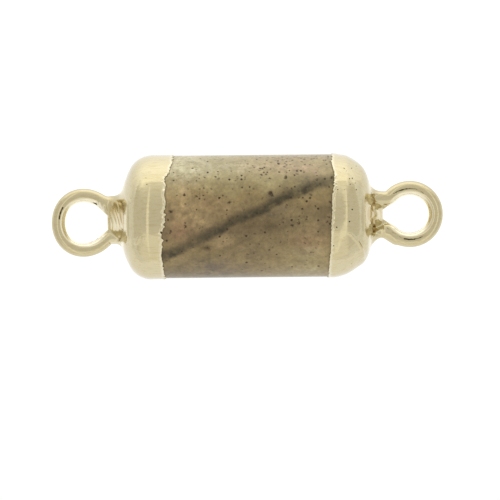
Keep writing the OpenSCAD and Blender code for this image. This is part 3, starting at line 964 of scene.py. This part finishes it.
def polished_picture_jasper():
    """Picture jasper, cut and polished: a soft gloss over cloudy sand, grey-brown veins and dark grains."""
    barrel = bpy.context.scene.connector_barrel
    material, add, place = new_material("Polished picture jasper")
    split = add("SeparateXYZ", place)
    # Clouds of a few millimetres bend the layers, from pale sand at the back to umber in the middle; the pale
    # back is partly painted sheen, lighter where the stone faces the brightest light
    clouds = add("TexNoise", place, 0.4, 3.0, 0.55)
    drift = add("MapRange", clouds, *NOISE, -1.0, 1.0)
    height = add("Math ADD", split.outputs["Y"], drift)
    level = add("MapRange", height, -PATTERN_Y, PATTERN_Y)
    tone = add("ValToRGB", level)
    stops = tone.color_ramp.elements
    stops[0].position, stops[0].color = 0.15, (*barrel.sand, 1)
    stops[1].position, stops[1].color = 0.82, (*barrel.pale, 1)
    for position, layer in ((0.42, barrel.umber), (0.64, barrel.sand)):
        stops.new(position).color = (*layer, 1)
    shown = tone
    # Patches that the attributes place, with edges broken up over half a millimetre; the palest at the upper
    # back are a painted reflection, and the long deep brown ones along the front edge are painted shade
    broken = add("TexNoise", place, 1.6, 4.0, 0.6)
    ragged = add("MapRange", broken, *NOISE_MIDDLE, 0.3, 1.3)
    for name in PATCHES:
        patch = add("Attribute", attribute_name=name)
        share = add("Math MULTIPLY", patch, ragged, use_clamp=True)
        shown = add("Mix", share, shown, (*getattr(barrel, name), 1), **RGBA)
    # Vein: a wavy sheet through the stone, which shows as a broad dark band with a soft upper edge
    along = add("MapRange", split.outputs["X"], -PATTERN_X, PATTERN_X)
    wander = add("TexNoise", place, 0.8, 4.0, 0.55)
    sway = add("MapRange", wander, *NOISE, -0.12, 0.12)
    bent = add("Math ADD", split.outputs["Y"], sway)
    smoky = add("MapRange", broken, *NOISE_MIDDLE, 0.66, 1.12)
    gap = add("Attribute", attribute_name="gap")
    kept = add("Math SUBTRACT", 1.0, gap)
    thickness = add("Math MULTIPLY", smoky, kept)
    for route, upper, lower, strength in VEINS:
        curve = add("FloatCurve", {"Value": along})
        rows = [((x + PATTERN_X) / (2 * PATTERN_X), (y + PATTERN_Y) / (2 * PATTERN_Y)) for x, y in route]
        draw_curve(curve, rows)
        centre = add("MapRange", curve, 0.0, 1.0, -PATTERN_Y, PATTERN_Y)
        off = add("Math SUBTRACT", bent, centre)
        above = add("MapRange", off, upper, 0.0, 0.0, strength, **SOFT)
        below = add("MapRange", off, -lower, -lower / 3, **SOFT)
        band = add("Math MULTIPLY", above, below)
        cloudy = add("Math MULTIPLY", band, thickness, use_clamp=True)
        shown = add("Mix", cloudy, shown, (*barrel.vein, 1), **RGBA)
    # Mottling of about a millimetre, and grain of 0.2 to 0.5 mm, drawn as coarse as it needs to show
    blotch = add("TexNoise", place, 1.1, 3.0, 0.6)
    grain = add("TexNoise", place, 3.4, 5.0, 0.75)
    for noise, low, high in ((blotch, 0.86, 1.14), (grain, 0.76, 1.24)):
        mottle = add("MapRange", noise, *NOISE, low, high)
        shown = add("Mix", 1.0, shown, mottle, **RGBA, blend_type="MULTIPLY")
    # Fine specks: a grain in some of the cells of a random pattern, more of them where it is gritty
    frayed = add("TexNoise", place, 9.0, 2.0)
    stirred = add("VectorMath MULTIPLY_ADD", frayed.outputs["Color"], (0.12, 0.12, 0.12), place)
    cells = add("TexVoronoi", stirred, 3.3)
    chance = add("SeparateColor", cells.outputs["Color"])
    gritty = add("Attribute", attribute_name="gritty")
    likely = add("Math MULTIPLY_ADD", gritty, 0.45, chance)
    present = add("MapRange", likely, 0.55, 1.0, 0.0, 1.0)
    grain_r = add("Math MULTIPLY", present, 0.42)
    inside = add("Math SUBTRACT", grain_r, cells)
    fine_speck = add("MapRange", inside, 0.0, 0.2, 0.0, 1.2, **SOFT)
    faint = add("Math MULTIPLY", fine_speck, chance.outputs[1], use_clamp=True)
    shown = add("Mix", faint, shown, (*barrel.speck, 1), **RGBA)
    # Specks: dark mineral grains where the attribute says, with outlines roughened by fine noise
    rim = add("Attribute", attribute_name="speck_rim")
    grit = add("TexNoise", place, 8.0, 3.0)
    rough_rim = add("Math MULTIPLY_ADD", grit, 0.36 * MM, rim)
    speck = add("MapRange", rough_rim, 0.23 * MM, 0.08 * MM, **SOFT)
    uneven = add("MapRange", broken, 0.4, 0.6, 0.88, 1.0)
    strength = add("Math MULTIPLY", speck, uneven)
    specked = add("Mix", strength, shown, (*barrel.speck, 1), **RGBA)
    # Dark line in the step beside the plating: partly dirt, partly painted shadow of the plating's edge
    bare = add("Attribute", attribute_name="bare")
    seam = add("MapRange", bare, 0.1, 0.0)
    patchy = add("MapRange", grain, 0.42, 0.6, 0.0, 0.9)
    dirt_and_shadow = add("Math MULTIPLY", seam, patchy)
    darkened_seam = add("Mix", dirt_and_shadow, specked, (*barrel.vein, 1), **RGBA)
    close_material(add, {"Base Color": darkened_seam, "Roughness": 0.3, "IOR": 1.54, "Specular IOR Level": 0.25})
    return material


def bright_gold_plating():
    """Thin pale gold plated over electroformed copper: bright, finely rippled, deeper in its recesses."""
    plating = bpy.context.scene.connector_plating
    material, add, place = new_material("Bright pale gold plating")
    recess = add("Attribute", attribute_name="recess")
    # Ripples of about 0.2 mm, drawn out along the barrel, with a little painted shade along them
    stretch = add("Mapping", {"Vector": place, "Scale": (0.25, 1.0, 1.0)})
    ripple = add("TexNoise", stretch, 5.0, 2.0)
    ripple_shade = add("MapRange", ripple, 0.5, 0.68, 0.0, 0.35)
    # Painted shade in the crease, on the upper neck and along the ripples
    deep = add("Math MAXIMUM", recess, ripple_shade)
    tone = add("Mix", deep, (*plating.gold, 1), (*plating.shade, 1), **RGBA)
    # Painted highlights on the lip, inside the eyes, on the brow over the neck and low on the left neck
    highlight_share = add("Attribute", attribute_name="rubbed")
    bright = add("Mix", highlight_share, tone, (*plating.rubbed, 1), **RGBA)
    # Tarnish in fine lines, and painted shade in the thinnest along the eyes' inner rims, with edges frayed
    # over less than a tenth of a millimetre
    mark = add("Attribute", attribute_name="mark")
    frayed = add("TexNoise", place, 5.0, 3.0, 0.7)
    wandering = add("Math MULTIPLY_ADD", frayed, 0.12, mark)
    dark = add("MapRange", wandering, 0.075, 0.035, **SOFT)
    marked = add("Mix", dark, bright, (*plating.tarnish, 1), **RGBA)
    relief = add("Bump", {"Height": ripple, "Distance": 0.009 * MM, "Strength": 1.0})
    shine = {"Metallic": 1.0, "Roughness": plating.roughness}
    close_material(add, {"Base Color": marked, "Normal": relief, **shine})
    return material


# Pieces

def finish_piece(made, node):
    """Smooth shading, and the piece's place in the frame."""
    made.data.polygons.foreach_set("use_smooth", np.ones(len(made.data.polygons), bool))
    made.data.update()
    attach(made, BODY)
    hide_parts(node)


def turned_body(name, outline, sides, material):
    """A body turned from an outline of places along the barrel and radii, in millimetres."""
    points = [(along, radius, 0) for along, radius in outline]
    body = mesh_object(name, points, edges=[(i, i + 1) for i in range(len(points) - 1)])
    shape_with(body, turned_tree(), Sides=sides, Axis_height=axis_height(), Material=material)
    face_outwards(body)
    return body


def plated_end(side):
    """Shape of the left or right plated end, from the settings and the tables."""
    scene = bpy.context.scene
    end = getattr(scene, f"connector_{side}_end")
    tables = LEFT_END if side == "left" else RIGHT_END
    return PlatedEnd(scene.connector_barrel, scene.connector_plating, end, tables)


def stone_outline(barrel):
    """Outline of the stone from one blind peg hole over the barrel to the other, in millimetres."""
    scene = bpy.context.scene
    inset = (barrel.skin_t + barrel.seat_gap) / MM
    hole_r = (barrel.peg_d / 2 + barrel.seat_gap) / MM
    halves = []
    for way, end in ((-1, scene.connector_left_end), (1, scene.connector_right_end)):
        form = BarrelEnd(barrel, end)
        bottom = form.dome_at - (barrel.skin_t + barrel.peg_depth) / MM - PEG_END_GAP
        half = [(bottom, 0.0), (bottom, hole_r), *form.outline(inset, hole_r, STONE_RINGS)]
        halves.append([(way * along, radius) for along, radius in half])
    left, right = halves
    straight = np.arange(left[-1][0] + RING_STEP, right[-1][0] - RING_STEP / 2, RING_STEP)
    return [*left, *((along, left[-1][1]) for along in straight), *reversed(right)]


class CONNECTOR_OT_stone(bpy.types.Operator):
    """Build the polished stone barrel with its specks and pits"""
    bl_idname = "connector.stone"
    bl_label = "Stone barrel"

    def execute(self, context):
        barrel = context.scene.connector_barrel
        material = polished_picture_jasper()
        stone = turned_body("polished_stone_barrel", stone_outline(barrel), STONE_SIDES, material)
        radius = barrel.barrel_d / MM / 2 - (barrel.skin_t + barrel.seat_gap) / MM
        height = axis_height() / MM
        places = [(along, across, height + sqrt(radius ** 2 - across ** 2)) for along, across, _ in SPECKS]
        specks = mesh_object("specks", places)
        store(specks.data, "size", [size * MM for _, _, size in SPECKS])
        shape_with(
            stone, pits_tree(), Specks=specks, Density=barrel.stray_density / MM ** 2, Largest=barrel.stray_d,
            Half_length=PATTERN_X * MM, Depth=barrel.pit_depth, Seed=barrel.seed, Material=material
        )
        remove(specks)
        along, across, up = (vertices_mm(stone.data) - [0, 0, height]).T
        for name, rows in {**PATCHES, "gritty": GRITTY, "gap": GAPS}.items():
            spread = [
                share * bump(np.hypot((along - x) / half_l, (across - y) / half_h), 0, 1)
                for x, y, half_l, half_h, share in rows
            ]
            store(stone.data, name, sum(spread) * smooth_step(up, -2, 1))
        # Distance of the stone from the plating's edge, for the dark line and painted shadow beside it
        bare = [plated_end(side).edge(across, up) - way * along for side, way in (("left", -1), ("right", 1))]
        store(stone.data, "bare", np.minimum(*bare))
        finish_piece(stone, STONE_NODE)
        return {"FINISHED"}


class CONNECTOR_OT_plated_end(bpy.types.Operator):
    """Build one plated end: skin on the stone, neck, loop and hidden peg in one piece"""
    bl_idname = "connector.plated_end"
    bl_label = "Plated end"
    side: bpy.props.EnumProperty(
        name="Side", description="End of the barrel", items=[("left", "Left", ""), ("right", "Right", "")]
    )

    def execute(self, context):
        barrel = context.scene.connector_barrel
        form = plated_end(self.side)
        axes = form.axes()
        points, quads = surface_nets(axes, form.on_grid(axes))
        points = settle(points, form.distance_to)
        way = -1 if self.side == "left" else 1
        lift = np.array([0, 0, axis_height() / MM])
        end = mesh_object(f"plated_{self.side}_end", points * [way, 1, 1] + lift, quads)
        face_outwards(end)
        material = bpy.data.materials.get("Bright pale gold plating") or bright_gold_plating()
        end.data.materials.append(material)
        # The stone's seat is cut out of the solid end, with the peg left standing in it
        peg_r = barrel.peg_d / MM / 2
        tip = form.dome_at - (barrel.skin_t + barrel.peg_depth) / MM
        seat = [(tip, 0.0), (tip, peg_r), *form.outline(form.skin_t, peg_r, SEAT_RINGS)]
        open_at = min(form.edge_rows["along"]) - SEAT_PAST
        seat += [(open_at, seat[-1][1]), (open_at, 0.0)]
        cutter = turned_body("seat", [(way * along, radius) for along, radius in seat], SEAT_SIDES, material)
        cut = end.modifiers.new("Seat", "BOOLEAN")
        cut.operation = "DIFFERENCE"
        cut.solver = "MANIFOLD"
        cut.object = cutter
        freeze(end)
        remove(cutter)
        places = vertices_mm(end.data) * [way, 1, 1] - lift
        # Painted shade, painted highlights, and fine dark marks with painted shade along the eyes' inner rims
        for name in ("recess", "rubbed", "mark"):
            store(end.data, name, getattr(form, name)(*places.T))
        finish_piece(end, f"{self.side}_cap_and_loop")
        return {"FINISHED"}


class CONNECTOR_OT_studio(bpy.types.Operator):
    """Build the pale floor, the soft lights and the camera"""
    bl_idname = "connector.studio"
    bl_label = "Studio"

    def execute(self, context):
        studio = context.scene.connector_studio
        pale_floor(studio)
        room_light(studio)
        camera(studio)
        context.scene.view_settings.view_transform = "Standard"
        return {"FINISHED"}


# Studio

def pale_floor(studio):
    """A round sheet of lit white acrylic, bright enough to hide the object's shadow as in the photograph."""
    sides = 96
    turn = [2 * pi * i / sides for i in range(sides)]
    rim = [(studio.floor_r / MM * cos(a), studio.floor_r / MM * sin(a), 0) for a in turn]
    floor = mesh_object("pale_floor", rim, [list(range(sides))])
    material, add, place = new_material("Lit white acrylic")
    # The sheet is plain white in front and close by, and lit more strongly towards the back
    split = add("SeparateXYZ", place)
    far = add("VectorMath LENGTH", place)
    back = add("Math DIVIDE", split.outputs["Y"], far)
    facing = add("MapRange", back, 0.3, 0.9, 0.0, 0.45, **SOFT)
    beyond = add("MapRange", split.outputs["Y"], 6.0, 30.0)
    rising = add("Math POWER", beyond, 0.3)
    back_light = add("Math MULTIPLY_ADD", facing, rising, 1.0)
    # and in a narrow pool under the loops
    pool_place = add("Mapping", {"Vector": place, "Scale": (1 / POOL_X, 1 / POOL_Y, 0)})
    pool_far = add("VectorMath LENGTH", pool_place)
    pool = add("MapRange", pool_far, 1.15, 0.85, 0.0, 0.15, **SOFT)
    light = add("Math ADD", back_light, pool)
    # Past both ends of the view it falls off a little
    sideways = add("Math ABSOLUTE", split.outputs["X"])
    falling = add("MapRange", sideways, 23.0, 36.0, 0.0, -0.15, **SOFT)
    whole = add("Math ADD", light, falling)
    close_material(add, {
        "Base Color": (*linear("#1E1E1E"), 1), "Roughness": 0.9, "Emission Color": (1, 1, 1, 1),
        "Emission Strength": whole,
    })
    floor.data.materials.append(material)


def room_light(studio):
    """Soft light all round: brightest low at the back, even in front, dimmer overhead between two strips."""
    world = bpy.data.worlds.new("Plain studio")
    world.use_nodes = True
    world.node_tree.nodes.clear()
    add = partial(add_node, world.node_tree)
    split = add("SeparateXYZ", add("TexCoord").outputs["Generated"])
    lean = add("Math ARCTAN2", split.outputs["Y"], split.outputs["Z"])
    turn = add("MapRange", lean, -pi, pi)
    curve = add("FloatCurve", {"Value": turn})
    rows = zip(ROOM_LIGHT["angle"], ROOM_LIGHT["light"])
    draw_curve(curve, [((angle + 180) / 360, light / BRIGHTEST) for angle, light in rows], "VECTOR")
    light = add("Math MULTIPLY", curve, BRIGHTEST)
    # Towards both ends the room is dimmer than in front and at the back
    flat = add("Math ABSOLUTE", split.outputs["X"])
    ends = add("MapRange", flat, 0.5, 0.84, **SOFT)
    light = add("Mix", ends, light, ENDS_LIGHT)
    aside = add("Math ARCTAN2", split.outputs["X"], split.outputs["Z"])
    for middle, half in SIDE_STRIPS:
        off = add("Math SUBTRACT", aside, radians(middle))
        away = add("Math ABSOLUTE", off)
        strip = add("MapRange", away, radians(half), radians(half / 3), 0.0, studio.side_light, **SOFT)
        light = add("Math MAXIMUM", light, strip)
    seen = add("LightPath")
    room = add("Background", {"Color": (*studio.room, 1), "Strength": light})
    white = add("Background", {"Color": (1, 1, 1, 1), "Strength": BACKDROP_LIGHT})
    both = add("MixShader", seen.outputs["Is Camera Ray"], room, white)
    add("OutputWorld", {"Surface": both})
    bpy.context.scene.world = world


def camera(studio):
    """A long lens straight above, which sees the loops' plane without perspective."""
    lens = bpy.data.cameras.new("camera")
    lens.sensor_width = 36
    lens.lens = lens.sensor_width * studio.camera_h / studio.view_w
    lens.clip_start, lens.clip_end = 10 * MM, 5
    made = new_object("camera", lens)
    made.location = (studio.view_x, studio.view_y, axis_height() + studio.camera_h)
    made.rotation_euler = (0, 0, -studio.roll)
    bpy.context.scene.camera = made


class CONNECTOR_PT_panel(bpy.types.Panel):
    """Sizes, colours and build buttons of the connector"""
    bl_idname = "CONNECTOR_PT_panel"
    bl_label = "Spacer connector"
    bl_space_type = "VIEW_3D"
    bl_region_type = "UI"
    bl_category = "Connector"

    def draw(self, context):
        layout = self.layout
        for name in GROUPS:
            group = getattr(context.scene, name)
            box = layout.box()
            box.label(text=GROUPS[name].__doc__)
            for key in GROUPS[name].__annotations__:
                box.prop(group, key)
        for name in ("studio", "stone"):
            layout.operator(f"connector.{name}")
        layout.operator_enum("connector.plated_end", "side")


GROUPS = {
    "connector_barrel": ConnectorBarrel,
    "connector_left_end": ConnectorLeftEnd,
    "connector_right_end": ConnectorRightEnd,
    "connector_plating": ConnectorPlating,
    "connector_studio": ConnectorStudio,
}
CLASSES = (
    *GROUPS.values(), CONNECTOR_OT_studio, CONNECTOR_OT_stone, CONNECTOR_OT_plated_end, CONNECTOR_PT_panel
)


def register():
    """Registers the settings, the operators and the panel."""
    for each in CLASSES:
        bpy.utils.register_class(each)
    for name, group in GROUPS.items():
        setattr(bpy.types.Scene, name, PointerProperty(type=group))


def unregister():
    """Takes away what register added."""
    for name in GROUPS:
        delattr(bpy.types.Scene, name)
    for each in reversed(CLASSES):
        bpy.utils.unregister_class(each)


def main():
    """Builds the studio and the pieces, and notes both boxes."""
    register()
    bpy.ops.connector.studio()
    bpy.ops.connector.stone()
    for side in ("left", "right"):
        bpy.ops.connector.plated_end(side=side)


if __name__ == "__main__":
    main()
